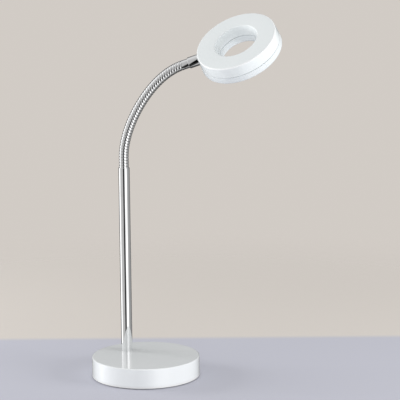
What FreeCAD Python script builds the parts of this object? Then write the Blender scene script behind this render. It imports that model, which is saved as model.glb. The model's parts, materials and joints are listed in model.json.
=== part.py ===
import FreeCAD, Part
import math
import os

# Gooseneck desk lamp: a weighted round foot, a straight tube, a ribbed flexible neck and a ring head.
# Millimetres. Z is up, the origin is the middle of the foot's resting face, and the tube stands at -X.

V = FreeCAD.Vector

# Driving dimensions: foot
BASE_DIAMETER = 125.0
BASE_HEIGHT = 23.5
SHELL_TOP = 2.0
SHELL_WALL = 1.5
SHELL_EDGE = 1.2
PAD_THICKNESS = 1.4
PLATE_THICKNESS = 1.2
WEIGHT_RADIUS = 58.0
WEIGHT_THICKNESS = 13.0

# Driving dimensions: tube
POLE_OFFSET = 33.0
POLE_DIAMETER = 13.0
POLE_WALL = 1.2
POLE_TOP = 240.8
NIPPLE_DIAMETER = 10.0
NIPPLE_BORE = 7.0
NIPPLE_ABOVE_FOOT = 17.0
FOOT_BUSH_LENGTH = 15.5
NECK_BUSH_LENGTH = 13.6
NECK_BUSH_BORE = 9.2
BUSH_SLIP = 0.02

# Driving dimensions: flexible neck
NECK_TURN = 34.9
NECK_LENGTH = 145.9
NECK_STRAIGHT_FOOT = 11.7
NECK_CUBIC = (106.3, -132.0, 97.0)
NECK_JOINTS = 12
NECK_CREST = 5.75
NECK_VALLEY = 5.25
RIBS_PER_SPAN = 4
RIB_SHOULDER = 0.08
RIB_END_GAP = 0.25
BORE_RADIUS = 2.6
BALL_RADIUS = 4.2
SOCKET_CLEARANCE = 0.07
SHOULDER_BELOW = 1.2
RIM_ABOVE = 0.45
BALL_TOP = 2.2
LEAD_RADIUS = 1.5
LEAD_GAP = 0.5
ROOT_PLUG_RADIUS = 4.55
ROOT_PLUG_LENGTH = 14.0
TOP_PLUG_RADIUS = 4.3
TOP_PLUG_LENGTH = 7.0

# Driving dimensions: head
HEAD_ROLL = 35.4
HEAD_TOP_RADIUS = 47.2
HEAD_SEAM_RADIUS = 48.0
HEAD_LOW_RADIUS = 48.4
HOLE_TOP_RADIUS = 25.3
HOLE_SEAM_RADIUS = 23.9
HOLE_LOW_RADIUS = 21.4
HEAD_TOP = 8.3
HEAD_SEAM = -5.0
HEAD_BOTTOM = -13.5
SEAM_GAP = 0.5
HEAD_WALL = 1.8
FERRULE_LENGTH = 8.0
SLEEVE_LENGTH = 12.0
SLEEVE_DIAMETER = 13.0
FERRULE_DIAMETER = 11.0
HEAD_EDGE = 1.2
DIFFUSER_WALL = 1.6
DIFFUSER_CORNER = 2.2
LIP_OUTER = 46.0
LIP_INNER = 26.9
LIP_THICKNESS = 1.0
LIP_TOP = -3.2
STUD_RADIUS = 3.0
STUD_BORE = 1.9
STUD_HOLE = 3.05
SPREADER_TOP = -4.4
SPREADER_THICKNESS = 1.2
LED_BOARD_THICKNESS = 1.6
LED_BOARD_OUTER = 44.3
LED_BOARD_INNER = 29.2
LED_COUNT = 30
LED_RING_RADIUS = 36.0
LED_STAGGER = 3.4
LED_CHIP = (2.8, 3.5, 0.8)
BOSS_ANGLES = (48, 132, 228, 312)
BOSS_RADIUS = 3.2
BOSS_BOTTOM = -4.4

# Derived sizes and places
BASE_RADIUS = BASE_DIAMETER / 2
POLE_RADIUS = POLE_DIAMETER / 2
POLE_INNER = POLE_RADIUS - POLE_WALL
SHELL_INNER_TOP = BASE_HEIGHT - SHELL_TOP
SHELL_INNER_RADIUS = BASE_RADIUS - SHELL_WALL
SHELL_BOTTOM = 1.0
PLATE_TOP = PAD_THICKNESS + PLATE_THICKNESS
WEIGHT_TOP = SHELL_INNER_TOP
WEIGHT_BOTTOM = WEIGHT_TOP - WEIGHT_THICKNESS
POLE_AXIS = V(-POLE_OFFSET, 0, 0)
LED_BOARD_BOTTOM = SPREADER_TOP - SPREADER_THICKNESS - LED_BOARD_THICKNESS
NECK_SPAN = NECK_LENGTH / NECK_JOINTS
OUT = V(math.cos(math.radians(NECK_TURN)), math.sin(math.radians(NECK_TURN)), 0)
UP = V(0, 0, 1)
SIDE = UP.cross(OUT)

# Places inside the foot
NUT_POCKET_RADIUS = 11.5
NUT_POCKET_TOP = 14.5
DRIVER_CENTRE_X = 16.0
DRIVER_LENGTH = 52.0
DRIVER_WIDTH = 30.0
DRIVER_STANDOFF_TOP = 5.6
BOARD_THICKNESS = 1.6
BOARD_TOP = DRIVER_STANDOFF_TOP + BOARD_THICKNESS
LEAD_LEVEL = 5.4
LEAD_CORE_RADIUS = 0.75
TERMINAL_FACE = -9.6
GLAND_HEIGHT = 12.0
GLAND_BORE = 2.6
GLAND_BARREL = 3.5
GLAND_BARREL_LENGTH = 14.0
GLAND_COLLAR = 5.5
GLAND_COLLAR_LENGTH = 2.5
GLAND_NUT_THICKNESS = 3.0
LEAD_START_GAP = 1.3
PLATE_SCREW_ANGLES = (30, 95, 238, 305)
PLATE_SCREW_RING = 50.0
PLATE_SCREW_RADIUS = 1.5
PLATE_SCREW_LENGTH = 11.0
BOARD_SCREW_RADIUS = 1.25
SWITCH_ANGLE = 148.0
SWITCH_HEIGHT = 12.5
SWITCH_WIDTH = 15.0
SWITCH_TALL = 10.0
SWITCH_DEPTH = 13.0
ROCKER_DRUM = 5.0
ROCKER_TALL = 7.0
ROCKER_PIVOT_INSET = 3.4
ROCKER_THROW = 14.0
ROCKER_PIN = 0.8
ROCKER_PIN_REACH = 1.0


def cylinder(radius, low, high, x=0.0, y=0.0):
    return Part.makeCylinder(radius, high - low, V(x, y, low))


def tube(outer, inner, low, high, x=0.0, y=0.0):
    margin = 1.0
    return cylinder(outer, low, high, x, y).cut(cylinder(inner, low - margin, high + margin, x, y))


def box(x0, x1, y0, y1, z0, z1):
    return Part.makeBox(x1 - x0, y1 - y0, z1 - z0, V(x0, y0, z0))


def hexagon(across_flats, bore, low, high, x=0.0, y=0.0):
    corner = across_flats / 2 / math.cos(math.radians(30))
    points = [V(x + corner * math.cos(math.radians(a)), y + corner * math.sin(math.radians(a)), low)
              for a in range(0, 361, 60)]
    nut = Part.Face(Part.makePolygon(points)).extrude(V(0, 0, high - low))
    return nut.cut(cylinder(bore, low - 1, high + 1, x, y))


def revolved(points):
    """Solid of revolution about Z of a closed outline given as (radius, height) pairs."""
    outline = Part.makePolygon([V(r, 0, z) for r, z in points] + [V(points[0][0], 0, points[0][1])])
    return Part.Face(outline).revolve(V(0, 0, 0), UP, 360)


def polar(radius, angle, z=0.0):
    return V(radius * math.cos(math.radians(angle)), radius * math.sin(math.radians(angle)), z)


def wire_lead(points, radius):
    """Round lead along straight runs joined by tangent arcs as large as the runs allow."""
    edges = []
    here = points[0]
    for before, corner, after in zip(points, points[1:], points[2:]):
        back = before - corner
        ahead = after - corner
        reach = 0.45 * min(back.Length, ahead.Length)
        back.normalize()
        ahead.normalize()
        half = ahead.getAngle(back) / 2
        start = corner + back * reach
        end = corner + ahead * reach
        inward = back + ahead
        inward.normalize()
        arc_radius = reach * math.tan(half)
        middle = corner + inward * (reach / math.cos(half) - arc_radius)
        edges.append(Part.LineSegment(here, start).toShape())
        edges.append(Part.Arc(start, middle, end).toShape())
        here = end
    edges.append(Part.LineSegment(here, points[-1]).toShape())
    path = Part.Wire(edges)
    direction = points[1] - points[0]
    profile = Part.Wire(Part.makeCircle(radius, points[0], direction))
    return path.makePipeShell([profile], True, False)


# Foot

def base_shell():
    r = BASE_RADIUS
    shell = cylinder(r, SHELL_BOTTOM, BASE_HEIGHT)
    top_edge = [e for e in shell.Edges if e.BoundBox.ZMin > BASE_HEIGHT - 0.01]
    shell = shell.makeFillet(SHELL_EDGE, top_edge)
    shell = shell.cut(cylinder(SHELL_INNER_RADIUS, 0, SHELL_INNER_TOP))
    shell = shell.cut(cylinder(NIPPLE_DIAMETER / 2 + 0.1, 0, BASE_HEIGHT + 1, -POLE_OFFSET))
    gland_hole = Part.makeCylinder(GLAND_BARREL + 0.1, 8, V(-r - 2, 0, GLAND_HEIGHT), V(1, 0, 0))
    shell = shell.cut(gland_hole)
    window = box(r - 5, r + 3, -SWITCH_WIDTH / 2, SWITCH_WIDTH / 2,
                 SWITCH_HEIGHT - SWITCH_TALL / 2, SWITCH_HEIGHT + SWITCH_TALL / 2)
    window.rotate(V(0, 0, 0), UP, SWITCH_ANGLE)
    return shell.cut(window)


def screw_places():
    return [polar(PLATE_SCREW_RING, angle) for angle in PLATE_SCREW_ANGLES]


def base_weight():
    weight = cylinder(WEIGHT_RADIUS, WEIGHT_BOTTOM, WEIGHT_TOP)
    pocket = box(DRIVER_CENTRE_X - 31, DRIVER_CENTRE_X + 28, -17, 17, 0, BASE_HEIGHT)
    weight = weight.cut(pocket)
    weight = weight.cut(cylinder(NIPPLE_DIAMETER / 2 + 0.2, 0, BASE_HEIGHT, -POLE_OFFSET))
    weight = weight.cut(cylinder(NUT_POCKET_RADIUS, 0, NUT_POCKET_TOP, -POLE_OFFSET))
    weight = weight.cut(box(-BASE_RADIUS, -41, -9, 15, 0, SHELL_INNER_TOP - 2.5))
    notch = box(41, BASE_RADIUS, -9.5, 9.5, 0, SHELL_INNER_TOP - 2.5)
    notch.rotate(V(0, 0, 0), UP, SWITCH_ANGLE)
    weight = weight.cut(notch)
    channel = box(-POLE_OFFSET, DRIVER_CENTRE_X - 30, -4, 4, 0, NUT_POCKET_TOP - 2)
    weight = weight.cut(channel)
    for place in screw_places():
        weight = weight.fuse(cylinder(5.0, PLATE_TOP, WEIGHT_BOTTOM + 1, place.x, place.y))
        hole_top = PLATE_TOP + PLATE_SCREW_LENGTH + 1
        weight = weight.cut(cylinder(PLATE_SCREW_RADIUS + 0.1, 0, hole_top, place.x, place.y))
    return weight.removeSplitter()


def base_plate():
    plate = cylinder(SHELL_INNER_RADIUS - 0.4, PAD_THICKNESS, PLATE_TOP)
    for place in screw_places():
        seat = V(place.x, place.y, PAD_THICKNESS)
        plate = plate.cut(Part.makeCone(2.9, PLATE_SCREW_RADIUS + 0.1, PLATE_THICKNESS, seat))
    for place in driver_screw_places():
        plate = plate.fuse(cylinder(2.4, PLATE_TOP - 0.2, DRIVER_STANDOFF_TOP, place.x, place.y))
        plate = plate.cut(cylinder(BOARD_SCREW_RADIUS + 0.05, PLATE_TOP - 0.2, DRIVER_STANDOFF_TOP + 1,
                                   place.x, place.y))
    return plate


def foot_pad():
    return cylinder(BASE_RADIUS - 2.5, 0, PAD_THICKNESS)


def base_plate_screws():
    screws = []
    for place in screw_places():
        seat = V(place.x, place.y, PAD_THICKNESS)
        head = Part.makeCone(2.8, PLATE_SCREW_RADIUS, PLATE_THICKNESS, seat)
        shank = cylinder(PLATE_SCREW_RADIUS, PLATE_TOP, PLATE_TOP + PLATE_SCREW_LENGTH, place.x, place.y)
        screws.append(head.fuse(shank).removeSplitter())
    return Part.makeCompound(screws)


def cord_gland():
    inward = V(1, 0, 0)
    collar_start = V(-BASE_RADIUS - GLAND_COLLAR_LENGTH, 0, GLAND_HEIGHT)
    collar = Part.makeCylinder(GLAND_COLLAR, GLAND_COLLAR_LENGTH, collar_start, inward)
    barrel_start = V(-BASE_RADIUS - 0.1, 0, GLAND_HEIGHT)
    barrel = Part.makeCylinder(GLAND_BARREL, GLAND_BARREL_LENGTH, barrel_start, inward)
    bore = Part.makeCylinder(GLAND_BORE, 30.0, V(-BASE_RADIUS - 5, 0, GLAND_HEIGHT), inward)
    return collar.fuse(barrel).cut(bore)


def gland_nut():
    nut = hexagon(10.0, GLAND_BARREL + 0.05, 0, GLAND_NUT_THICKNESS)
    nut.rotate(V(0, 0, 0), V(0, 1, 0), 90)
    nut.translate(V(-SHELL_INNER_RADIUS + 0.4, 0, GLAND_HEIGHT))
    return nut


# Switch in the back of the foot, made along +X and then turned to its place

def turned_to_switch(shape):
    shape.rotate(V(0, 0, 0), UP, SWITCH_ANGLE)
    return shape


def switch_body():
    out = BASE_RADIUS
    slack = 0.15
    body = box(out - SWITCH_DEPTH, out, -SWITCH_WIDTH / 2 + slack, SWITCH_WIDTH / 2 - slack,
               SWITCH_HEIGHT - SWITCH_TALL / 2 + slack, SWITCH_HEIGHT + SWITCH_TALL / 2 - slack)
    flange = box(out, out + 1.0, -SWITCH_WIDTH / 2 - 1, SWITCH_WIDTH / 2 + 1,
                 SWITCH_HEIGHT - SWITCH_TALL / 2 - 1, SWITCH_HEIGHT + SWITCH_TALL / 2 + 1)
    pivot = out - ROCKER_PIVOT_INSET
    low = SWITCH_HEIGHT - ROCKER_TALL / 2 - 0.1
    high = SWITCH_HEIGHT + ROCKER_TALL / 2 + 0.1
    drum_room = cylinder(ROCKER_DRUM + 0.3, low, high, pivot)
    mouth = box(pivot, out + 2, -ROCKER_DRUM - 0.3, ROCKER_DRUM + 0.3, low, high)
    reach = ROCKER_PIN_REACH + 0.05
    pin_hole = cylinder(ROCKER_PIN + 0.05, low - reach, high + reach, pivot)
    return turned_to_switch(body.fuse(flange).cut(drum_room).cut(mouth).cut(pin_hole))


def switch_rocker():
    pivot = BASE_RADIUS - ROCKER_PIVOT_INSET
    low = SWITCH_HEIGHT - ROCKER_TALL / 2
    high = SWITCH_HEIGHT + ROCKER_TALL / 2
    drum = cylinder(ROCKER_DRUM, low, high, pivot)
    face = ROCKER_PIVOT_INSET + 0.4
    for sign in (-1, 1):
        off = box(pivot + face, pivot + 9, -12, 12, low - 1, high + 1)
        off.rotate(V(pivot, 0, 0), UP, sign * ROCKER_THROW / 2)
        drum = drum.cut(off)
    pin = cylinder(ROCKER_PIN, low - ROCKER_PIN_REACH, high + ROCKER_PIN_REACH, pivot)
    rocker = drum.fuse(pin)
    rocker.rotate(V(pivot, 0, 0), UP, ROCKER_THROW / 2)
    return turned_to_switch(rocker)


# Driver in the foot

def driver_screw_places():
    dx = DRIVER_LENGTH / 2 - 3.5
    dy = DRIVER_WIDTH / 2 - 3.5
    return [V(DRIVER_CENTRE_X + sx * dx, sy * dy, 0) for sx in (-1, 1) for sy in (-1, 1)]


def driver_board():
    board = box(DRIVER_CENTRE_X - DRIVER_LENGTH / 2, DRIVER_CENTRE_X + DRIVER_LENGTH / 2,
                -DRIVER_WIDTH / 2, DRIVER_WIDTH / 2, DRIVER_STANDOFF_TOP, BOARD_TOP)
    for place in driver_screw_places():
        board = board.cut(cylinder(1.6, 0, BOARD_TOP + 1, place.x, place.y))
    return board


def driver_screws():
    screws = []
    for place in driver_screw_places():
        shank = cylinder(BOARD_SCREW_RADIUS, PLATE_TOP + 0.4, BOARD_TOP, place.x, place.y)
        head = cylinder(2.4, BOARD_TOP, BOARD_TOP + 1.6, place.x, place.y)
        screws.append(shank.fuse(head))
    return Part.makeCompound(screws)


def driver_transformer():
    x = DRIVER_CENTRE_X + 3
    core = box(x - 8, x + 8, -9, 5, BOARD_TOP, BOARD_TOP + 9)
    bobbin = box(x - 5, x + 5, -11, 7, BOARD_TOP + 2, BOARD_TOP + 7)
    return core.fuse(bobbin)


def driver_components():
    parts = []
    for x, y, r, h in ((35, 5, 4.0, 11.0), (35, -5, 4.0, 11.0), (18, 11.4, 2.5, 7.0)):
        parts.append(cylinder(r, BOARD_TOP, BOARD_TOP + h, x, y))
    parts.append(box(4, 8, 9.5, 13.5, BOARD_TOP, BOARD_TOP + 1.2))
    parts.append(box(0, 6, -4, 4, BOARD_TOP, BOARD_TOP + 6))
    return Part.makeCompound(parts)


def terminal_block():
    block = box(-9.5, -2.5, -7, 7, BOARD_TOP, BOARD_TOP + 8)
    for y in (-4.5, -1.5, 1.5, 4.5):
        block = block.cut(cylinder(1.0, BOARD_TOP + 5, BOARD_TOP + 9, -6, y))
    return block


def inlet_leads():
    radius = LEAD_CORE_RADIUS
    leads = []
    inlet = BASE_RADIUS + 0.1 - GLAND_BARREL_LENGTH - LEAD_START_GAP
    plug_in = TERMINAL_FACE
    first = [V(-inlet, -1.2, GLAND_HEIGHT), V(-inlet + 1.8, -1.6, 9.0), V(-inlet + 3.6, -5.0, LEAD_LEVEL),
             V(-37, -15, LEAD_LEVEL), V(-23, -15, LEAD_LEVEL), V(-14.0, -5.5, LEAD_LEVEL),
             V(-12.4, -4.5, 9.4), V(plug_in, -4.5, 9.6)]
    leads.append(wire_lead(first, radius))
    centre = polar(BASE_RADIUS - SWITCH_DEPTH - 0.1, SWITCH_ANGLE, SWITCH_HEIGHT)
    across = polar(3.0, SWITCH_ANGLE + 90)
    inward = polar(-3.6, SWITCH_ANGLE)
    drop = V(0, 0, LEAD_LEVEL - SWITCH_HEIGHT)
    live = centre + across
    second = [V(-inlet, 1.2, GLAND_HEIGHT), V(-inlet + 1.8, 2.0, 9.0), V(-inlet + 3.4, 6.0, LEAD_LEVEL),
              live + inward * 1.1 + drop, live + inward, live]
    leads.append(wire_lead(second, radius))
    switched = centre - across
    third = [switched, switched + inward, switched + inward * 1.3 + drop, V(-23, 15, LEAD_LEVEL),
             V(-14.0, 5.5, LEAD_LEVEL), V(-12.4, 4.5, 9.4), V(plug_in, 4.5, 9.6)]
    leads.append(wire_lead(third, radius))
    return Part.makeCompound(leads)


# Tube and what clamps it

def pole_tube():
    return tube(POLE_RADIUS, POLE_INNER, BASE_HEIGHT, POLE_TOP, -POLE_OFFSET)


def pole_foot_bush():
    low = BASE_HEIGHT + 0.5
    bore = NIPPLE_DIAMETER / 2 + BUSH_SLIP
    return tube(POLE_INNER - BUSH_SLIP, bore, low, low + FOOT_BUSH_LENGTH, -POLE_OFFSET)


def pole_nipple():
    top = BASE_HEIGHT + NIPPLE_ABOVE_FOOT
    return tube(NIPPLE_DIAMETER / 2, NIPPLE_BORE / 2, NUT_POCKET_TOP - 6.5, top, -POLE_OFFSET)


def pole_lock_washer():
    return tube(8.5, NIPPLE_DIAMETER / 2 + 0.1, NUT_POCKET_TOP - 1.0, NUT_POCKET_TOP, -POLE_OFFSET)


def pole_nut():
    top = NUT_POCKET_TOP - 1.0
    return hexagon(17.0, NIPPLE_DIAMETER / 2 + BUSH_SLIP, top - 4.0, top, -POLE_OFFSET)


def pole_lead():
    top = neck_place(joint_station(0) - LEAD_GAP)
    points = [V(TERMINAL_FACE, 0, 9.8), V(-14.0, 0, 9.6), V(-22.5, 0.4, LEAD_LEVEL),
              V(-POLE_OFFSET, 0, LEAD_LEVEL), top]
    return wire_lead(points, LEAD_RADIUS)


def neck_lower_bush():
    high = POLE_TOP - 0.4
    return tube(POLE_INNER - BUSH_SLIP, NECK_BUSH_BORE / 2, high - NECK_BUSH_LENGTH, high, -POLE_OFFSET)


# Flexible neck: its centre line lies in one upright plane that is turned about the tube

def neck_angle(station):
    """Angle of the centre line from upright, in radians, at a distance along it."""
    u = (station - NECK_STRAIGHT_FOOT) / (NECK_LENGTH - NECK_STRAIGHT_FOOT)
    u = min(1.0, max(0.0, u))
    first, second, third = NECK_CUBIC
    return math.radians(first * u + second * u * u + third * u ** 3)


def neck_direction(station):
    angle = neck_angle(station)
    return OUT * math.sin(angle) + UP * math.cos(angle)


def neck_place(station):
    """Point of the centre line at a distance along it from the tube's top."""
    steps = 400
    out = 0.0
    up = 0.0
    for i in range(steps):
        angle = neck_angle(station * (i + 0.5) / steps)
        out += math.sin(angle) * station / steps
        up += math.cos(angle) * station / steps
    return POLE_AXIS + OUT * out + UP * (POLE_TOP + up)


def joint_station(index):
    return (index + 0.5) * NECK_SPAN


def ring_at(station, radius):
    """Circle square to the centre line, with its seam always on the same side."""
    circle = Part.makeCircle(radius)
    along = neck_direction(station)
    turn = FreeCAD.Rotation(SIDE, along.cross(SIDE), along, "ZXY")
    circle.Placement = FreeCAD.Placement(neck_place(station), turn)
    return Part.Wire(circle)


def ribbed_body(low, high):
    """Ruled ribs: valley, rise, crest and fall for each, from one station to another."""
    pitch = NECK_SPAN / RIBS_PER_SPAN
    shoulder = NECK_CREST - RIB_SHOULDER
    profile = ((0.0, NECK_VALLEY), (0.3, shoulder), (0.5, NECK_CREST), (0.7, shoulder))
    stations = [(low, NECK_VALLEY)]
    first = int(math.floor(low / pitch))
    last = int(math.ceil(high / pitch))
    for rib in range(first, last + 1):
        for part, radius in profile:
            station = (rib + part) * pitch
            if low + RIB_END_GAP < station < high - RIB_END_GAP:
                stations.append((station, radius))
    stations.append((high, NECK_VALLEY))
    return Part.makeLoft([ring_at(s, r) for s, r in stations], True, True)


def ball_at(station):
    low_angle = math.degrees(math.asin(-(SHOULDER_BELOW + 0.3) / BALL_RADIUS))
    high_angle = math.degrees(math.asin(BALL_TOP / BALL_RADIUS))
    centre = neck_place(station)
    return Part.makeSphere(BALL_RADIUS, centre, neck_direction(station), low_angle, high_angle, 360)


def straight_bore(start, end, radius):
    direction = end - start
    length = direction.Length
    direction.normalize()
    return Part.makeCylinder(radius, length + 8, start - direction * 4, direction)


def neck_section(index):
    """Rigid stretch of the neck from the joint of this index to the next one."""
    below = joint_station(index)
    above = joint_station(index + 1)
    body = ribbed_body(below + RIM_ABOVE, above - SHOULDER_BELOW).fuse(ball_at(above))
    socket = Part.makeSphere(BALL_RADIUS + SOCKET_CLEARANCE, neck_place(below))
    bore = straight_bore(neck_place(below), neck_place(above), BORE_RADIUS)
    return body.cut(socket).cut(bore)


def neck_lead(index):
    start = neck_place(joint_station(index) + LEAD_GAP)
    end = neck_place(joint_station(index + 1) - LEAD_GAP)
    direction = end - start
    return Part.makeCylinder(LEAD_RADIUS, direction.Length, start, direction)


def neck_root_section():
    above = joint_station(0)
    plug = cylinder(ROOT_PLUG_RADIUS, POLE_TOP - ROOT_PLUG_LENGTH, POLE_TOP + 0.2, -POLE_OFFSET)
    body = ribbed_body(0.05, above - SHOULDER_BELOW).fuse(plug).fuse(ball_at(above))
    return body.cut(cylinder(BORE_RADIUS, POLE_TOP - 15, POLE_TOP + 20, -POLE_OFFSET))


# Neck's upper end and head, made in the head's own frame:
# X runs out from the neck, Z is the head's axis and the origin is the ring's middle at the neck's height

def head_rotation():
    along = neck_direction(NECK_LENGTH)
    upright = along.cross(SIDE)
    roll = math.radians(HEAD_ROLL)
    axis = upright * math.cos(roll) - SIDE * math.sin(roll)
    return FreeCAD.Rotation(along, axis.cross(along), axis, "ZXY")


def head_placement():
    along = neck_direction(NECK_LENGTH)
    reach = FERRULE_LENGTH + SLEEVE_LENGTH + wall_radius(0.0)
    return FreeCAD.Placement(neck_place(NECK_LENGTH) + along * reach, head_rotation())


def wall_radius(height):
    """Outer radius of the white shell's slightly sloping wall."""
    part = (HEAD_TOP - height) / (HEAD_TOP - HEAD_SEAM)
    return HEAD_TOP_RADIUS + part * (HEAD_SEAM_RADIUS - HEAD_TOP_RADIUS)


def placed_in_head(shape):
    shape.Placement = head_placement().multiply(shape.Placement)
    return shape


def along_neck(radius, start, end):
    """Cylinder on the neck's axis between two distances in from the head's middle."""
    return Part.makeCylinder(radius, end - start, V(start, 0, 0), V(1, 0, 0))


SLEEVE_END = -wall_radius(0.0)
SLEEVE_START = SLEEVE_END - SLEEVE_LENGTH
FERRULE_START = SLEEVE_START - FERRULE_LENGTH


def neck_top_section():
    below = joint_station(NECK_JOINTS - 1)
    body = ribbed_body(below + RIM_ABOVE, NECK_LENGTH - 0.05)
    plug = placed_in_head(along_neck(TOP_PLUG_RADIUS, FERRULE_START - 0.3, FERRULE_START + TOP_PLUG_LENGTH))
    socket = Part.makeSphere(BALL_RADIUS + SOCKET_CLEARANCE, neck_place(below))
    bore = straight_bore(neck_place(below), neck_place(NECK_LENGTH), BORE_RADIUS)
    return body.fuse(plug).cut(socket).cut(bore)


def neck_top_ferrule():
    outer = along_neck(FERRULE_DIAMETER / 2, FERRULE_START, SLEEVE_END - 2.0)
    socket_end = FERRULE_START + TOP_PLUG_LENGTH + 0.2
    outer = outer.cut(along_neck(TOP_PLUG_RADIUS + 0.05, FERRULE_START - 1, socket_end))
    outer = outer.cut(along_neck(STUD_HOLE, FERRULE_START, SLEEVE_END))
    return placed_in_head(outer)


def head_sleeve():
    outer = along_neck(SLEEVE_DIAMETER / 2, SLEEVE_START, SLEEVE_END + 1)
    outer = outer.makeChamfer(0.3, [e for e in outer.Edges if abs(e.BoundBox.XMin - SLEEVE_START) < 0.01
                                    and abs(e.BoundBox.XMax - SLEEVE_START) < 0.01])
    outer = outer.cut(along_neck(FERRULE_DIAMETER / 2 + 0.03, SLEEVE_START - 1, SLEEVE_END - 1.9))
    outer = outer.cut(along_neck(STUD_HOLE, SLEEVE_START, SLEEVE_END + 5))
    return placed_in_head(outer.cut(revolved([(0, HEAD_TOP + 2), (wall_radius(HEAD_TOP + 2), HEAD_TOP + 2),
                                              (wall_radius(-12), -12), (0, -12)])))


def head_stud():
    stud = along_neck(STUD_RADIUS, FERRULE_START + TOP_PLUG_LENGTH + 2.0, SLEEVE_END + 8.5)
    return placed_in_head(stud.cut(along_neck(STUD_BORE, FERRULE_START, 0)))


def head_nut():
    nut = hexagon(9.0, STUD_RADIUS + BUSH_SLIP, 0, 3.2)
    nut.rotate(V(0, 0, 0), V(0, 1, 0), 90)
    nut.translate(V(SLEEVE_END + 3.4, 0, 0))
    return placed_in_head(nut)


def boss_places():
    return [polar(LED_RING_RADIUS, angle) for angle in BOSS_ANGLES]


def head_shell():
    top = HEAD_TOP
    low = HEAD_SEAM + SEAM_GAP / 2
    inside_top = top - HEAD_WALL
    outer = HEAD_TOP_RADIUS
    outer_low = wall_radius(low)
    hole = HOLE_TOP_RADIUS
    hole_low = HOLE_SEAM_RADIUS
    edge = HEAD_EDGE
    ring = revolved([(hole + edge, top), (outer - edge, top), (outer - 0.35 * edge, top - 0.2 * edge),
                     (outer, top - edge), (outer_low, low), (outer_low - HEAD_WALL, low),
                     (outer - HEAD_WALL, inside_top), (hole + HEAD_WALL, inside_top),
                     (hole_low + HEAD_WALL, low), (hole_low, low), (hole, top - edge),
                     (hole + 0.35 * edge, top - 0.2 * edge)])
    for place in boss_places():
        ring = ring.fuse(cylinder(BOSS_RADIUS, BOSS_BOTTOM, inside_top + 0.5, place.x, place.y))
        ring = ring.cut(cylinder(1.2, -5, 4, place.x, place.y))
    ring = ring.cut(along_neck(STUD_RADIUS + 0.1, SLEEVE_END - 2, SLEEVE_END + 6))
    flat = box(SLEEVE_END + 2.1, SLEEVE_END + 3.4, -5.5, 5.5, low - 1, 5.5)
    return placed_in_head(ring.cut(flat))


def head_spacer():
    """Flat washer between the shell's wall and the nut."""
    washer = along_neck(5.0, SLEEVE_END + 2.4, SLEEVE_END + 3.4).cut(along_neck(STUD_HOLE, SLEEVE_END, 0))
    return placed_in_head(washer)


def heat_spreader():
    plate = tube(LED_BOARD_OUTER, LED_BOARD_INNER, SPREADER_TOP - SPREADER_THICKNESS, SPREADER_TOP)
    plate = plate.cut(box(-46, -34, -7, 7, -6, 0))
    for place in boss_places():
        plate = plate.cut(cylinder(1.4, -7, 0, place.x, place.y))
    return placed_in_head(plate)


def led_board():
    plate = tube(LED_BOARD_OUTER, LED_BOARD_INNER, LED_BOARD_BOTTOM, SPREADER_TOP - SPREADER_THICKNESS)
    for place in boss_places():
        plate = plate.cut(cylinder(1.4, -9, 0, place.x, place.y))
    return placed_in_head(plate)


def led_chips():
    length, width, height = LED_CHIP
    chips = []
    for i in range(LED_COUNT):
        angle = 360.0 * (i + 0.5) / LED_COUNT
        radius = LED_RING_RADIUS + LED_STAGGER
        if i % 2:
            radius = LED_RING_RADIUS - LED_STAGGER
        chip = box(radius - length / 2, radius + length / 2, -width / 2, width / 2,
                   LED_BOARD_BOTTOM - height, LED_BOARD_BOTTOM)
        chip.rotate(V(0, 0, 0), UP, angle)
        chips.append(chip)
    return placed_in_head(Part.makeCompound(chips))


def head_screws():
    screws = []
    for place in boss_places():
        shank = cylinder(1.15, LED_BOARD_BOTTOM, 2.0, place.x, place.y)
        head = cylinder(2.2, LED_BOARD_BOTTOM - 1.4, LED_BOARD_BOTTOM, place.x, place.y)
        screws.append(shank.fuse(head))
    return placed_in_head(Part.makeCompound(screws))


def diffuser():
    high = HEAD_SEAM - SEAM_GAP / 2
    low = HEAD_BOTTOM
    corner = DIFFUSER_CORNER
    outer = HEAD_LOW_RADIUS
    hole = HOLE_LOW_RADIUS
    inside = low + DIFFUSER_WALL
    inner_wall = LIP_INNER + LIP_THICKNESS
    outer_wall = LIP_OUTER - LIP_THICKNESS
    bevel = 0.3 * corner
    ring = revolved([(HEAD_SEAM_RADIUS, high), (outer, low + corner), (outer - bevel, low + bevel),
                     (outer - corner, low), (hole + corner, low), (hole + bevel, low + bevel),
                     (hole, low + corner), (HOLE_SEAM_RADIUS, high), (LIP_INNER, high), (LIP_INNER, LIP_TOP),
                     (inner_wall, LIP_TOP), (inner_wall, inside + 2), (inner_wall + 1.4, inside),
                     (outer_wall - 1.4, inside), (outer_wall, inside + 2), (outer_wall, LIP_TOP),
                     (LIP_OUTER, LIP_TOP), (LIP_OUTER, high)])
    ring = ring.cut(box(-50, -40, -6.2, 6.2, HEAD_SEAM, 0))
    return placed_in_head(ring)


def head_leads():
    leads = []
    for sign in (-1, 1):
        points = [V(SLEEVE_END + 4, sign * 0.85, 0), V(SLEEVE_END + 10.3, sign * 1.0, 0),
                  V(SLEEVE_END + 12.2, sign * 3.0, -2.0), V(SLEEVE_END + 12.2, sign * 3.2, -5.55)]
        leads.append(placed_in_head(wire_lead(points, 0.65)))
    return Part.makeCompound(leads)


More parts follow.
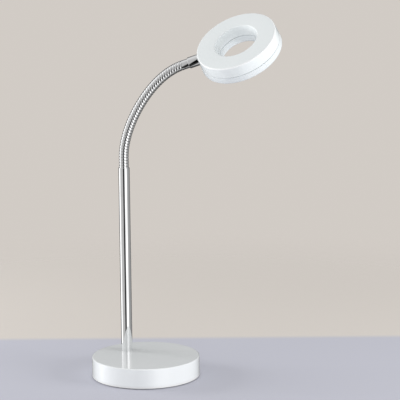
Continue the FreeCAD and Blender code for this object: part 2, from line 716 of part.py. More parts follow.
PIECES = {
    "foot_pad": foot_pad, "base_plate": base_plate, "base_plate_screws": base_plate_screws,
    "base_weight": base_weight, "base_shell": base_shell, "cord_gland": cord_gland, "gland_nut": gland_nut,
    "switch_body": switch_body, "switch_rocker": switch_rocker, "driver_board": driver_board,
    "driver_screws": driver_screws, "driver_transformer": driver_transformer,
    "driver_components": driver_components, "terminal_block": terminal_block, "inlet_leads": inlet_leads,
    "pole_tube": pole_tube, "pole_foot_bush": pole_foot_bush, "pole_nipple": pole_nipple,
    "pole_lock_washer": pole_lock_washer, "pole_nut": pole_nut, "pole_lead": pole_lead,
    "neck_lower_bush": neck_lower_bush, "neck_root_section": neck_root_section,
    "neck_top_section": neck_top_section, "neck_top_ferrule": neck_top_ferrule, "head_sleeve": head_sleeve,
    "head_stud": head_stud, "head_spacer": head_spacer, "head_nut": head_nut, "head_shell": head_shell,
    "heat_spreader": heat_spreader, "led_board": led_board, "led_chips": led_chips,
    "head_screws": head_screws, "diffuser": diffuser, "head_leads": head_leads,
}


def build():
    os.makedirs("parts", exist_ok=True)
    for name, make in PIECES.items():
        shape = make()
        shape.exportStep(f"parts/{name}.step")
    for index in range(NECK_JOINTS - 1):
        neck_section(index).exportStep(f"parts/neck_section_{index + 1:02d}.step")
        neck_lead(index).exportStep(f"parts/neck_lead_{index + 1:02d}.step")


if __name__ == "__main__":
    build()
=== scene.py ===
import json
import math

import bpy
from mathutils import Euler, Matrix, Vector


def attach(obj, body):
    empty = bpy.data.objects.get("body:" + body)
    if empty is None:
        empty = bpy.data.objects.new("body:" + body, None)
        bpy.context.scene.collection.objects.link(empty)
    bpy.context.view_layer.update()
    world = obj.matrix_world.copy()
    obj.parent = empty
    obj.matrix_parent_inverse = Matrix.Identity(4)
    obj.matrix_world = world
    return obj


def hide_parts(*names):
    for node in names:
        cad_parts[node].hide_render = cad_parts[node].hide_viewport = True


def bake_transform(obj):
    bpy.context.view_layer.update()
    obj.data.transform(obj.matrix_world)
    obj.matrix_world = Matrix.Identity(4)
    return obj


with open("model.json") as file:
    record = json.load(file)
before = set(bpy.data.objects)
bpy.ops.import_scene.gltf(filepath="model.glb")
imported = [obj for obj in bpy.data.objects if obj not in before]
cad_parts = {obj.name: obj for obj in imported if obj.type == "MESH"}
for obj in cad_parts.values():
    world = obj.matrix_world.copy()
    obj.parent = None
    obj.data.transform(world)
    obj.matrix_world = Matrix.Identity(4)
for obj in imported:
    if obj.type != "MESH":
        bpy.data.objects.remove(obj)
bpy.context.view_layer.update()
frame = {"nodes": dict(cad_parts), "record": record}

# Gooseneck desk lamp: glossy white foot and ring head, chromed tube and ribbed neck, frosted lower band.
# Metres, in the frame of the construction: Z up, the foot's middle at the origin, the tube at -X.

MM = 0.001

# Where the camera stands, from the middle of the foot, and how its picture is framed
PICTURE_TURN = math.radians(45.6)
CAMERA_RIGHT = 64.6 * MM
CAMERA_BACK = 1646.7 * MM
CAMERA_UP = 466.0 * MM
CAMERA_PITCH = math.radians(8.98)
CAMERA_ROLL = math.radians(-0.463)
CAMERA_LENS = 131.0

# Driving sizes of the lamp, as constructed
BASE_HEIGHT = 23.5 * MM
POLE_OFFSET = 33.0 * MM
POLE_RADIUS = 6.5 * MM
POLE_INNER = 5.3 * MM
POLE_TOP = 240.8 * MM
NECK_TURN = math.radians(34.9)
NECK_LENGTH = 145.9 * MM
NECK_STRAIGHT_FOOT = 11.7 * MM
NECK_CUBIC = (106.3, -132.0, 97.0)
NECK_JOINTS = 12
NECK_SPAN = NECK_LENGTH / NECK_JOINTS
RIB_PITCH = 3.3 * MM
NECK_CREST = 5.62 * MM
NECK_VALLEY = 5.22 * MM
BLEND_MARGIN = 0.04
FERRULE_LENGTH = 8.0 * MM
FERRULE_SOCKET = 4.4 * MM
FERRULE_SOCKET_DEPTH = 7.2 * MM
FERRULE_BORE = 3.05 * MM
SLEEVE_LENGTH = 12.0 * MM
SLEEVE_BORE = 3.1 * MM
SLEEVE_END_WALL = 2.0 * MM
FERRULE_RADIUS = 5.5 * MM
SLEEVE_RADIUS = 6.5 * MM
TURNED_SEGMENTS = 96
HEAD_SEGMENTS = 224
HEAD_ROLL = math.radians(35.4)
HEAD_TOP = 8.3 * MM
HEAD_SEAM = -5.0 * MM
HEAD_BOTTOM = -13.5 * MM
HEAD_TOP_RADIUS = 47.2 * MM
HEAD_SEAM_RADIUS = 48.0 * MM
HEAD_LOW_RADIUS = 48.4 * MM
HOLE_TOP_RADIUS = 25.3 * MM
HOLE_SEAM_RADIUS = 23.9 * MM
HOLE_LOW_RADIUS = 21.4 * MM
SEAM_HALF_GAP = 0.25 * MM
SHELL_WALL = 1.8 * MM
SHELL_EDGE = 1.3 * MM
SHELL_EDGE_REACH = 1.5 * MM
BAND_FLOOR = 1.6 * MM
LIP_TOP = -3.2 * MM
LIP_OUTER = 46.0 * MM
LIP_INNER = 26.9 * MM
LIP_THICKNESS = 1.0 * MM

# Studio: compass point in degrees, from behind the camera to its right, and how bright a mirror sees it.
# Mirrors see these panels alone: not the backdrop, the floor or the lamps.
STUDIO_PANELS = ((-180, 0.16), (-148, 0.04), (-134, 0.13), (-119, 0.66), (-106, 1.90), (-93, 1.30),
                 (-79, 0.70), (-58, 0.54), (-40, 0.54), (-23, 0.54), (-19, 0.0), (2, 0.0),
                 (6.5, 0.34), (12, 0.62), (19, 0.92), (26, 1.70), (44, 1.70), (54, 1.00), (62, 0.64), (74, 0.42),
                 (88, 0.36), (102, 0.33), (122, 0.36), (136, 0.20), (150, 0.05), (180, 0.16))
CEILING_LEVEL = 0.70
CEILING_RISE = (0.48, 0.80)
CEILING_SHARE = 0.8
BELOW_LEVEL = 0.05
BELOW_FALL = (0.46, 0.76)
BELOW_SHARE = 0.6
AMBIENT = 0.66
LAMP_AIM = 0.2
DESK_COLOUR = (0.55, 0.555, 0.62, 1.0)
GROUND_COLOUR = (0.685, 0.642, 0.598, 1.0)
DESK_EDGE = 0.160
DESK_EDGE_BLUR = 0.02
FLOOR_HALF_SIZE = 6.0
FLOOR_FADE = (0.35, 0.95)
BACKDROP_COLOUR = (0.64, 0.60, 0.56, 1.0)

OUT = Vector((math.cos(NECK_TURN), math.sin(NECK_TURN), 0))
UP = Vector((0, 0, 1))
SIDE = UP.cross(OUT)


# Camera

def make_camera():
    data = bpy.data.cameras.new("camera")
    data.lens = CAMERA_LENS
    data.clip_end = 20
    camera = bpy.data.objects.new("camera", data)
    bpy.context.scene.collection.objects.link(camera)
    turn = Matrix.Rotation(PICTURE_TURN, 4, "Z")
    place = turn @ Vector((CAMERA_RIGHT, -CAMERA_BACK, CAMERA_UP))
    aim = Euler((math.pi / 2 - CAMERA_PITCH, 0, 0)).to_matrix().to_4x4()
    camera.matrix_world = Matrix.Translation(place) @ turn @ aim @ Matrix.Rotation(CAMERA_ROLL, 4, "Z")
    bpy.context.scene.camera = camera
    bpy.context.scene.view_settings.view_transform = "Standard"


# Neck's centre line, as constructed

def neck_angle(station):
    u = (station - NECK_STRAIGHT_FOOT) / (NECK_LENGTH - NECK_STRAIGHT_FOOT)
    u = min(1.0, max(0.0, u))
    first, second, third = NECK_CUBIC
    return math.radians(first * u + second * u * u + third * u ** 3)


def neck_direction(station):
    angle = neck_angle(station)
    return OUT * math.sin(angle) + UP * math.cos(angle)


def neck_place(station):
    steps = 400
    out = 0.0
    up = 0.0
    for i in range(steps):
        angle = neck_angle(station * (i + 0.5) / steps)
        out += math.sin(angle) * station / steps
        up += math.cos(angle) * station / steps
    return Vector((-POLE_OFFSET, 0, POLE_TOP)) + OUT * out + UP * up


def head_matrix():
    along = neck_direction(NECK_LENGTH)
    upright = along.cross(SIDE)
    axis = upright * math.cos(HEAD_ROLL) - SIDE * math.sin(HEAD_ROLL)
    across = axis.cross(along)
    centre = neck_place(NECK_LENGTH) + along * (FERRULE_LENGTH + SLEEVE_LENGTH + wall_radius(0.0))
    matrix = Matrix((along, across, axis)).transposed().to_4x4()
    matrix.translation = centre
    return matrix


def wall_radius(height):
    part = (HEAD_TOP - height) / (HEAD_TOP - HEAD_SEAM)
    return HEAD_TOP_RADIUS + part * (HEAD_SEAM_RADIUS - HEAD_TOP_RADIUS)


# Mesh building

def finished_object(name, verts, faces, sharp=math.radians(38)):
    mesh = bpy.data.meshes.new(name)
    mesh.from_pydata([tuple(v) for v in verts], [], faces)
    mesh.validate()
    mesh.shade_smooth()
    mesh.set_sharp_from_angle(angle=sharp)
    piece = bpy.data.objects.new(name, mesh)
    bpy.context.scene.collection.objects.link(piece)
    return piece


def mark_points(piece, name, values):
    """Number for each point of the mesh, which a finish reads by its name."""
    attribute = piece.data.attributes.new(name, "FLOAT", "POINT")
    attribute.data.foreach_set("value", values)


def rounded_outline(corners, steps=6):
    """Closed outline of (radius, height, corner radius) with each corner turned into an arc."""
    points = []
    count = len(corners)
    for i, (x, z, r) in enumerate(corners):
        here = Vector((x, z))
        back = Vector(corners[i - 1][:2]) - here
        ahead = Vector(corners[(i + 1) % count][:2]) - here
        if r <= 0:
            points.append(here)
            continue
        back.normalize()
        ahead.normalize()
        half = back.angle(ahead) / 2
        reach = r / math.tan(half)
        middle = here + (back + ahead).normalized() * (r / math.sin(half))
        start = here + back * reach - middle
        turn = start.angle_signed(here + ahead * reach - middle)
        for k in range(steps + 1):
            angle = turn * k / steps
            c, s = math.cos(-angle), math.sin(-angle)
            points.append(middle + Vector((start.x * c - start.y * s, start.x * s + start.y * c)))
    return points


def lathe(name, outline, matrix, segments=160):
    """Solid turned about the matrix's Z from a closed outline of (radius, height) points."""
    verts = []
    faces = []
    count = len(outline)
    for s in range(segments):
        angle = 2 * math.pi * s / segments
        c, n = math.cos(angle), math.sin(angle)
        verts += [matrix @ Vector((p.x * c, p.x * n, p.y)) for p in outline]
    for s in range(segments):
        a, b = s * count, (s + 1) % segments * count
        for k in range(count):
            j = (k + 1) % count
            faces.append((a + k, b + k, b + j, a + j))
    return finished_object(name, verts, faces)


# Shader building

class Val:
    """A number socket that can be used in sums, products and differences."""

    def __init__(self, finish, socket):
        self.finish = finish
        self.socket = socket

    def sum_with(self, other, operation, swap=False):
        first, second = (other, self) if swap else (self, other)
        return self.finish.node("ShaderNodeMath", {"operation": operation}, {0: first, 1: second})

    def __add__(self, other):
        return self.sum_with(other, "ADD")

    __radd__ = __add__

    def __sub__(self, other):
        return self.sum_with(other, "SUBTRACT")

    def __rsub__(self, other):
        return self.sum_with(other, "SUBTRACT", True)

    def __mul__(self, other):
        return self.sum_with(other, "MULTIPLY")

    __rmul__ = __mul__

    def __truediv__(self, other):
        return self.sum_with(other, "DIVIDE")

    def __rtruediv__(self, other):
        return self.sum_with(other, "DIVIDE", True)

    def clipped(self):
        return self.finish.node("ShaderNodeClamp", {}, {"Value": self})

    def between(self, low, high):
        """0 under low, 1 over high, smooth between them."""
        settings = {"interpolation_type": "SMOOTHSTEP"}
        return self.finish.node("ShaderNodeMapRange", settings, {"Value": self, 1: low, 2: high})


class Finish:
    """One material or world under construction."""

    def __init__(self, owner):
        owner.use_nodes = True
        self.tree = owner.node_tree
        self.tree.nodes.clear()

    def node(self, kind, settings=None, values=None, output=0):
        made = self.tree.nodes.new(kind)
        for key, value in (settings or {}).items():
            if key == "stops":
                self.set_stops(made.color_ramp, value)
            else:
                setattr(made, key, value)
        for key, value in (values or {}).items():
            if isinstance(value, Val):
                self.tree.links.new(value.socket, made.inputs[key])
            else:
                made.inputs[key].default_value = value
        if output is None:
            return made
        return Val(self, made.outputs[output])

    def set_stops(self, ramp, stops):
        while len(ramp.elements) < len(stops):
            ramp.elements.new(1.0)
        for element, (place, colour) in zip(ramp.elements, stops):
            element.position = place
            element.color = colour

    def place(self):
        return self.node("ShaderNodeTexCoord", {}, {}, "Object")

    def noise(self, scale, detail, roughness, place):
        return self.node("ShaderNodeTexNoise", {}, {"Vector": place, "Scale": scale, "Detail": detail,
                                                    "Roughness": roughness})

    def mix(self, factor, low, high):
        return self.node("ShaderNodeMix", {"data_type": "RGBA"}, {0: factor, 6: low, 7: high}, 2)

    def bump(self, height, strength, distance):
        return self.node("ShaderNodeBump", {}, {"Strength": strength, "Distance": distance, "Height": height},
                         "Normal")

    def surface(self, **values):
        named = {key.replace("_", " "): value for key, value in values.items()}
        shader = self.node("ShaderNodeBsdfPrincipled", {}, named)
        self.node("ShaderNodeOutputMaterial", {}, {"Surface": shader}, None)


def rgb(r, g, b):
    return (r, g, b, 1.0)


# Finishes

def white_enamel(material):
    """Glossy baked enamel: faint flow of the coat, fine rubbing on the top, darker, browner and rougher near the
    desk.
    """
    f = Finish(material)
    place = f.place()
    height = f.node("ShaderNodeSeparateXYZ", {}, {"Vector": place}, "Z")
    flow = f.noise(55.0, 4.0, 0.55, place)
    cloud = f.noise(18.0, 3.0, 0.6, place)
    rub = f.noise(420.0, 5.0, 0.7, place).between(0.56, 0.74)
    # Mask of the lowest few millimetres of the wall, next to the desk.
    near_desk = 1 - height.between(0.0012, 0.0045)
    rim = height.between(0.0215, 0.0228) * 0.35
    tint = f.mix(cloud, rgb(0.775, 0.80, 0.81), rgb(0.82, 0.84, 0.845))
    # The colour turns darker and browner in that lowest band, towards the desk.
    colour = f.mix(near_desk * 0.35, tint, rgb(0.62, 0.60, 0.57))
    rough = cloud * 0.05 + rub * 0.05 + rim * 0.06 + near_desk * 0.25 + 0.07
    f.surface(Base_Color=colour, Roughness=rough, IOR=1.5, Coat_Weight=0.25, Coat_Roughness=0.03,
              Normal=f.bump(flow + rub * 0.05, 0.05, 0.0006))


def white_plastic(material):
    """Gloss moulded plastic of the ring's upper shell, with a painted highlight along its rounded top rim."""
    f = Finish(material)
    place = f.place()
    cloud = f.noise(26.0, 3.0, 0.55, place)
    grain = f.noise(2400.0, 2.0, 0.5, place)
    wipe = f.noise(160.0, 5.0, 0.75, place).between(0.5, 0.75)
    rim = f.node("ShaderNodeAttribute", {"attribute_name": "rim"}, {}, "Fac")
    tint = f.mix(cloud, rgb(0.80, 0.845, 0.855), rgb(0.845, 0.875, 0.88))
    # The rim's colour is lightened almost to white: a painted highlight along the top edge.
    colour = f.mix(rim * 0.55, tint, rgb(0.95, 0.955, 0.96))
    rough = cloud * 0.05 + wipe * 0.06 - rim * 0.05 + 0.11
    f.surface(Base_Color=colour, Roughness=rough, IOR=1.48, Normal=f.bump(grain * 0.25 + cloud, 0.04, 0.0004))


def frosted_plastic(material):
    """Milky light-spreading band: cool and satin, with a trace of light under its skin."""
    f = Finish(material)
    place = f.place()
    cloud = f.noise(34.0, 3.0, 0.5, place)
    frost = f.noise(3200.0, 3.0, 0.6, place)
    colour = f.mix(cloud, rgb(0.74, 0.78, 0.80), rgb(0.79, 0.825, 0.84))
    rough = cloud * 0.06 + frost * 0.08 + 0.26
    f.surface(Base_Color=colour, Roughness=rough, IOR=1.49, Subsurface_Weight=0.05,
              Subsurface_Radius=(0.006, 0.0065, 0.007), Subsurface_Scale=0.5,
              Normal=f.bump(frost, 0.06, 0.0002))


def plated_colour(f, touch):
    """Bright plating, a little greyer where it has been touched."""
    return f.mix(touch, rgb(0.86, 0.865, 0.87), rgb(0.80, 0.80, 0.795))


def chrome_tube(material):
    """Bright chrome plate with hairline polish along the tube and faint finger marks."""
    f = Finish(material)
    place = f.place()
    stretched = f.node("ShaderNodeMapping", {}, {"Vector": place, "Scale": (1.0, 1.0, 0.02)})
    hairline = f.noise(5200.0, 3.0, 0.6, stretched)
    touch = f.noise(70.0, 5.0, 0.65, place).between(0.52, 0.72)
    f.surface(Base_Color=plated_colour(f, touch), Metallic=1.0,
              Roughness=hairline * 0.02 + touch * 0.05 + 0.02, Normal=f.bump(hairline, 0.012, 0.00004))


def chrome_neck(material):
    """Plated ribbed neck, bright on the crests, rougher in the grooves, which carry painted shade as a dark
    colour.
    """
    f = Finish(material)
    place = f.place()
    crest = f.node("ShaderNodeAttribute", {"attribute_name": "crest"}, {}, "Fac")
    touch = f.noise(90.0, 4.0, 0.6, place).between(0.5, 0.75)
    fine = f.noise(4200.0, 2.0, 0.5, place)
    painted_groove_shade = 1 - crest.between(0.0, 0.5)
    # The grooves' colour is painted dark: painted shade between the ribs.
    colour = f.mix(painted_groove_shade, plated_colour(f, touch), rgb(0.20, 0.20, 0.195))
    f.surface(Base_Color=colour, Metallic=1.0, Roughness=painted_groove_shade * 0.2 + touch * 0.05 + fine * 0.02 + 0.05,
              Normal=f.bump(fine, 0.03, 0.00004))


def plated_steel(material):
    f = Finish(material)
    place = f.place()
    patch = f.noise(220.0, 4.0, 0.6, place)
    fine = f.noise(2600.0, 3.0, 0.6, place)
    colour = f.mix(patch, rgb(0.46, 0.46, 0.44), rgb(0.60, 0.60, 0.58))
    f.surface(Base_Color=colour, Metallic=1.0, Roughness=patch * 0.15 + fine * 0.1 + 0.22,
              Normal=f.bump(fine, 0.1, 0.00006))


def cast_iron(material):
    f = Finish(material)
    place = f.place()
    sand = f.noise(900.0, 6.0, 0.7, place)
    patch = f.noise(60.0, 4.0, 0.6, place)
    colour = f.mix(patch, rgb(0.030, 0.030, 0.032), rgb(0.065, 0.060, 0.055))
    f.surface(Base_Color=colour, Roughness=sand * 0.2 + 0.55, Normal=f.bump(sand, 0.5, 0.0004))


def pad_foam(material):
    f = Finish(material)
    place = f.place()
    cells = f.node("ShaderNodeTexVoronoi", {}, {"Vector": place, "Scale": 1100.0}, "Distance")
    patch = f.noise(45.0, 4.0, 0.6, place)
    colour = f.mix(patch, rgb(0.016, 0.016, 0.017), rgb(0.035, 0.034, 0.033))
    f.surface(Base_Color=colour, Roughness=patch * 0.1 + 0.78, Normal=f.bump(cells, 0.4, 0.0003))


def dull_plastic(material, low, high, roughness):
    f = Finish(material)
    place = f.place()
    patch = f.noise(120.0, 4.0, 0.6, place)
    grain = f.noise(2600.0, 3.0, 0.6, place)
    f.surface(Base_Color=f.mix(patch, low, high), Roughness=patch * 0.1 + grain * 0.06 + roughness,
              Normal=f.bump(grain, 0.15, 0.00012))


def black_plastic(material):
    dull_plastic(material, rgb(0.012, 0.012, 0.012), rgb(0.022, 0.022, 0.023), 0.38)


def white_rocker(material):
    dull_plastic(material, rgb(0.72, 0.72, 0.71), rgb(0.80, 0.80, 0.79), 0.22)


def grey_gland(material):
    dull_plastic(material, rgb(0.66, 0.66, 0.65), rgb(0.74, 0.74, 0.73), 0.4)


def circuit_board(material):
    dull_plastic(material, rgb(0.010, 0.075, 0.030), rgb(0.018, 0.105, 0.045), 0.3)


def components(material):
    dull_plastic(material, rgb(0.02, 0.02, 0.022), rgb(0.05, 0.05, 0.055), 0.35)


def terminal_green(material):
    dull_plastic(material, rgb(0.05, 0.20, 0.08), rgb(0.07, 0.26, 0.11), 0.4)


def lead_sleeving(material):
    dull_plastic(material, rgb(0.60, 0.60, 0.57), rgb(0.70, 0.70, 0.68), 0.42)


def aluminium(material):
    f = Finish(material)
    place = f.place()
    fine = f.noise(1800.0, 4.0, 0.6, place)
    patch = f.noise(90.0, 3.0, 0.6, place)
    colour = f.mix(patch, rgb(0.60, 0.61, 0.62), rgb(0.74, 0.745, 0.75))
    f.surface(Base_Color=colour, Metallic=1.0, Roughness=patch * 0.1 + fine * 0.1 + 0.3,
              Normal=f.bump(fine, 0.1, 0.00005))


def led_board_white(material):
    dull_plastic(material, rgb(0.72, 0.72, 0.70), rgb(0.80, 0.80, 0.78), 0.35)


def led_phosphor(material):
    dull_plastic(material, rgb(0.78, 0.60, 0.10), rgb(0.88, 0.72, 0.18), 0.35)


FINISHES = (white_enamel, white_plastic, frosted_plastic, chrome_tube, chrome_neck, plated_steel, cast_iron,
            pad_foam, black_plastic, white_rocker, grey_gland, circuit_board, components, terminal_green,
            lead_sleeving, aluminium, led_board_white, led_phosphor)
SLOT_FINISH = {make.__name__: make.__name__ for make in FINISHES}
SLOT_FINISH["zinc_steel"] = SLOT_FINISH.pop("plated_steel")


def make_materials():
    made = {}
    for make in FINISHES:
        material = bpy.data.materials.new(make.__name__)
        make(material)
        made[make.__name__] = material
    return made


def finish_nodes(materials):
    """Each constructed piece takes the finish of its slot in the record."""
    slots = {s["node"]: s["material_slot"] for s in frame["record"]["subparts"]}
    for name, node in frame["nodes"].items():
        node.data.materials.clear()
        node.data.materials.append(materials[SLOT_FINISH[slots[name]]])


def dress(piece, materials, slot, *nodes):
    piece.data.materials.append(materials[SLOT_FINISH[slot]])
    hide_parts(*nodes)


# Neck: a coil of round wire seen as rounded ribs that climb one pitch for each turn

def rib_height(phase):
    """0 in the groove and 1 on the crest, for a phase that grows by 1 for each rib."""
    across = abs(phase % 1.0 - 0.5) * 2
    return 1 - across ** 3


def hose_frame(station):
    along = neck_direction(station)
    return neck_place(station), along.cross(SIDE), SIDE


def make_hose_piece(index, materials, around=56, rows=54):
    """Stretch of the ribbed neck with one joint in its middle."""
    start = index * NECK_SPAN
    verts = []
    crests = []
    for row in range(rows + 1):
        station = start + NECK_SPAN * row / rows
        centre, inner, side = hose_frame(station)
        for k in range(around):
            angle = 2 * math.pi * k / around
            phase = station / RIB_PITCH - k / around
            crest = rib_height(phase)
            radius = NECK_VALLEY + (NECK_CREST - NECK_VALLEY) * crest
            verts.append(centre + (inner * math.cos(angle) + side * math.sin(angle)) * radius)
            crests.append(crest)
    faces = []
    for row in range(rows):
        for k in range(around):
            j = (k + 1) % around
            a, b = row * around, (row + 1) * around
            faces.append((a + k, a + j, b + j, b + k))
    piece = finished_object(f"neck_hose_{index + 1:02d}", verts, faces, math.pi)
    # The crest value also sets where the neck's finish paints shade into the grooves.
    mark_points(piece, "crest", crests)
    nodes = ["neck_root_section"] if index == 0 else []
    if index < NECK_JOINTS - 1:
        nodes.append(f"neck_section_{index + 1:02d}")
    else:
        nodes.append("neck_top_section")
    dress(piece, materials, "chrome_neck", *nodes)
    margin = BLEND_MARGIN * NECK_SPAN
    neck_place(start + margin)
    neck_place(start + NECK_SPAN - margin)
    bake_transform(piece)


# Tube, ferrule and sleeve

def make_pole(materials):
    outline = rounded_outline([(POLE_INNER, BASE_HEIGHT, 0), (POLE_RADIUS, BASE_HEIGHT, 0.25 * MM),
                               (POLE_RADIUS, POLE_TOP, 0.35 * MM), (POLE_INNER, POLE_TOP, 0.15 * MM)])
    pole = lathe("pole_tube_polished", outline, Matrix.Translation((-POLE_OFFSET, 0, 0)), TURNED_SEGMENTS)
    dress(pole, materials, "chrome_tube", "pole_tube")
    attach(pole, "stand")


def neck_axis_matrix():
    """Z runs along the straight end of the neck into the head, from the neck's end."""
    along = neck_direction(NECK_LENGTH)
    matrix = Matrix((SIDE, along.cross(SIDE), along)).transposed().to_4x4()
    matrix.translation = neck_place(NECK_LENGTH)
    return matrix


def make_ferrule(materials):
    end = FERRULE_LENGTH + SLEEVE_LENGTH - SLEEVE_END_WALL
    outline = rounded_outline([(FERRULE_SOCKET, 0, 0), (FERRULE_RADIUS, 0, 0.3 * MM),
                               (FERRULE_RADIUS, end, 0.1 * MM), (FERRULE_BORE, end, 0),
                               (FERRULE_BORE, FERRULE_SOCKET_DEPTH, 0), (FERRULE_SOCKET, FERRULE_SOCKET_DEPTH, 0)])
    ferrule = lathe("neck_top_ferrule_crimped", outline, neck_axis_matrix(), TURNED_SEGMENTS)
    dress(ferrule, materials, "chrome_neck", "neck_top_ferrule")
    mark_points(ferrule, "crest", [1.0] * len(ferrule.data.vertices))
    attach(ferrule, "head")


def make_sleeve(materials):
    low = FERRULE_LENGTH
    high = FERRULE_LENGTH + SLEEVE_LENGTH + 0.1 * MM
    inner = FERRULE_RADIUS + 0.03 * MM
    outline = rounded_outline([(inner, low, 0.12 * MM), (SLEEVE_RADIUS, low, 0.35 * MM),
                               (SLEEVE_RADIUS, high, 0.3 * MM), (SLEEVE_BORE, high, 0),
                               (SLEEVE_BORE, high - SLEEVE_END_WALL, 0), (inner, high - SLEEVE_END_WALL, 0)])
    sleeve = lathe("head_sleeve_polished", outline, neck_axis_matrix(), TURNED_SEGMENTS)
    dress(sleeve, materials, "chrome_tube", "head_sleeve")
    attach(sleeve, "head")


# Ring head

def make_head_shell(materials, matrix):
    wall = SHELL_WALL
    low = HEAD_SEAM + SEAM_HALF_GAP
    outer = wall_radius(low)
    inside = HEAD_TOP - wall
    edge = HEAD_TOP - SHELL_EDGE_REACH
    outline = rounded_outline([
        (HOLE_TOP_RADIUS, HEAD_TOP, SHELL_EDGE), (HEAD_TOP_RADIUS - SHELL_EDGE_REACH, HEAD_TOP, 0),
        (HEAD_TOP_RADIUS, HEAD_TOP, SHELL_EDGE), (wall_radius(edge), edge, 0),
        (outer, low, 0.35 * MM), (outer - wall, low, 0.1 * MM), (HEAD_TOP_RADIUS - wall, inside, 0.5 * MM),
        (HOLE_TOP_RADIUS + wall, inside, 0.5 * MM), (HOLE_SEAM_RADIUS + wall, low, 0.1 * MM),
        (HOLE_SEAM_RADIUS, low, 0.35 * MM)], 8)
    shell = lathe("head_shell_moulded", outline, matrix, HEAD_SEGMENTS)
    # Points of the rounded top rim, where the shell's finish paints a highlight.
    highlight_rims = [float(p.y > HEAD_TOP - SHELL_EDGE and p.x > HEAD_TOP_RADIUS - SHELL_EDGE) for p in outline]
    mark_points(shell, "rim", highlight_rims * HEAD_SEGMENTS)
    dress(shell, materials, "white_plastic", "head_shell")
    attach(shell, "head")


def make_diffuser(materials, matrix):
    high = HEAD_SEAM - SEAM_HALF_GAP
    low = HEAD_BOTTOM
    inside = low + BAND_FLOOR
    hole_side = LIP_INNER + LIP_THICKNESS
    outer_side = LIP_OUTER - LIP_THICKNESS
    outline = rounded_outline([
        (HEAD_SEAM_RADIUS, high, 0.35 * MM), (HEAD_LOW_RADIUS, low, 2.2 * MM), (HOLE_LOW_RADIUS, low, 2.4 * MM),
        (HOLE_SEAM_RADIUS, high, 0.35 * MM), (LIP_INNER, high, 0), (LIP_INNER, LIP_TOP, 0.2 * MM),
        (hole_side, LIP_TOP, 0.2 * MM), (hole_side, inside, 1.5 * MM), (outer_side, inside, 1.5 * MM),
        (outer_side, LIP_TOP, 0.2 * MM), (LIP_OUTER, LIP_TOP, 0.2 * MM), (LIP_OUTER, high, 0)], 8)
    band = lathe("diffuser_frosted", outline, matrix, HEAD_SEGMENTS)
    dress(band, materials, "frosted_plastic", "diffuser")
    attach(band, "head")


# Floor, world and lamps

def make_floor():
    """Desk and ground in two tones, which fade out to the backdrop and are left out of mirrors."""
    material = bpy.data.materials.new("floor")
    f = Finish(material)
    rays = f.node("ShaderNodeLightPath", {}, {}, None)
    clear = f.node("ShaderNodeBsdfTransparent")
    glossy = Val(f, rays.outputs["Is Glossy Ray"])
    turned = f.node("ShaderNodeVectorRotate", {"rotation_type": "Z_AXIS"},
                    {"Vector": f.place(), "Angle": -PICTURE_TURN})
    depth = f.node("ShaderNodeSeparateXYZ", {}, {"Vector": turned}, "Y")
    behind = depth.between(DESK_EDGE, DESK_EDGE + DESK_EDGE_BLUR)
    plain = f.node("ShaderNodeBsdfDiffuse", {}, {"Color": f.mix(behind, DESK_COLOUR, GROUND_COLOUR)})
    reach = f.node("ShaderNodeVectorMath", {"operation": "LENGTH"}, {0: f.place()}, "Value")
    faded = reach.between(*FLOOR_FADE)
    gone = 1 - (1 - glossy) * (1 - faded)
    shader = f.node("ShaderNodeMixShader", {}, {0: gone, 1: plain, 2: clear})
    f.node("ShaderNodeOutputMaterial", {}, {"Surface": shader}, None)
    size = FLOOR_HALF_SIZE
    floor = finished_object("floor", [(-size, -size, 0), (size, -size, 0), (size, size, 0), (-size, size, 0)],
                            [(0, 1, 2, 3)])
    floor.data.materials.append(material)


def grey(level):
    return rgb(level, level, level)


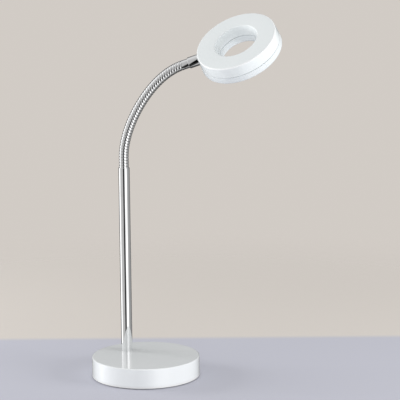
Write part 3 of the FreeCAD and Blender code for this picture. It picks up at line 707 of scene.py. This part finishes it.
def make_world():
    """Pale studio; in place of its backdrop, metal mirrors bright panels and dark gaps around it."""
    world = bpy.data.worlds.new("studio")
    bpy.context.scene.world = world
    f = Finish(world)
    rays = f.node("ShaderNodeLightPath", {}, {}, None)
    direction = f.node("ShaderNodeTexCoord", {}, {}, "Generated")
    turned = f.node("ShaderNodeVectorRotate", {"rotation_type": "Z_AXIS"},
                    {"Vector": direction, "Angle": -PICTURE_TURN})
    x = f.node("ShaderNodeSeparateXYZ", {}, {"Vector": turned}, "X")
    y = f.node("ShaderNodeSeparateXYZ", {}, {"Vector": turned}, "Y")
    compass = f.node("ShaderNodeMath", {"operation": "ARCTAN2"}, {0: x, 1: -1 * y}) / (2 * math.pi) + 0.5
    stops = [(angle / 360 + 0.5, grey(level)) for angle, level in STUDIO_PANELS]
    panels = f.node("ShaderNodeValToRGB", {"stops": stops}, {"Fac": compass}, "Color")
    height = f.node("ShaderNodeSeparateXYZ", {}, {"Vector": direction}, "Z")
    panels = f.mix(height.between(*CEILING_RISE) * CEILING_SHARE, panels, grey(CEILING_LEVEL))
    panels = f.mix((-1 * height).between(*BELOW_FALL) * BELOW_SHARE, panels, grey(BELOW_LEVEL))
    straight = (Val(f, rays.outputs["Is Camera Ray"]) + Val(f, rays.outputs["Is Transmission Ray"])).clipped()
    lit = f.mix(straight, grey(AMBIENT), BACKDROP_COLOUR)
    seen = f.mix(Val(f, rays.outputs["Is Glossy Ray"]), lit, panels)
    shader = f.node("ShaderNodeBackground", {}, {"Color": seen, "Strength": 1.0})
    f.node("ShaderNodeOutputWorld", {}, {"Surface": shader}, None)


def make_lamp(name, angle, elevation, distance, size, power):
    """Soft square lamp at a compass point of the picture, aimed at the lamp's middle."""
    data = bpy.data.lights.new(name, "AREA")
    data.shape = "SQUARE"
    data.size = size
    data.energy = power
    lamp = bpy.data.objects.new(name, data)
    lamp.visible_glossy = False
    bpy.context.scene.collection.objects.link(lamp)
    turn = angle - math.pi / 2
    aim = Vector((0, 0, LAMP_AIM))
    away = Vector((math.cos(turn) * math.cos(elevation), math.sin(turn) * math.cos(elevation),
                   math.sin(elevation)))
    lamp.location = Matrix.Rotation(PICTURE_TURN, 3, "Z") @ (away * distance) + aim
    lamp.rotation_euler = (aim - lamp.location).to_track_quat("-Z", "Y").to_euler()


def make_lamps():
    make_lamp("side_left_softbox", math.radians(-105), math.radians(6), 1.6, 0.8, 17.5)
    make_lamp("left_softbox", math.radians(-70), math.radians(8), 1.6, 0.8, 3.0)
    make_lamp("right_softbox", math.radians(70), math.radians(8), 1.6, 0.8, 14.0)
    make_lamp("front_softbox", 0.0, math.radians(4), 1.8, 0.7, 5.8)


make_camera()
MATERIALS = make_materials()
finish_nodes(MATERIALS)
make_pole(MATERIALS)
for hose_index in range(NECK_JOINTS):
    make_hose_piece(hose_index, MATERIALS)
make_ferrule(MATERIALS)
make_sleeve(MATERIALS)
HEAD = head_matrix()
make_head_shell(MATERIALS, HEAD)
make_diffuser(MATERIALS, HEAD)
make_floor()
make_world()
make_lamps()
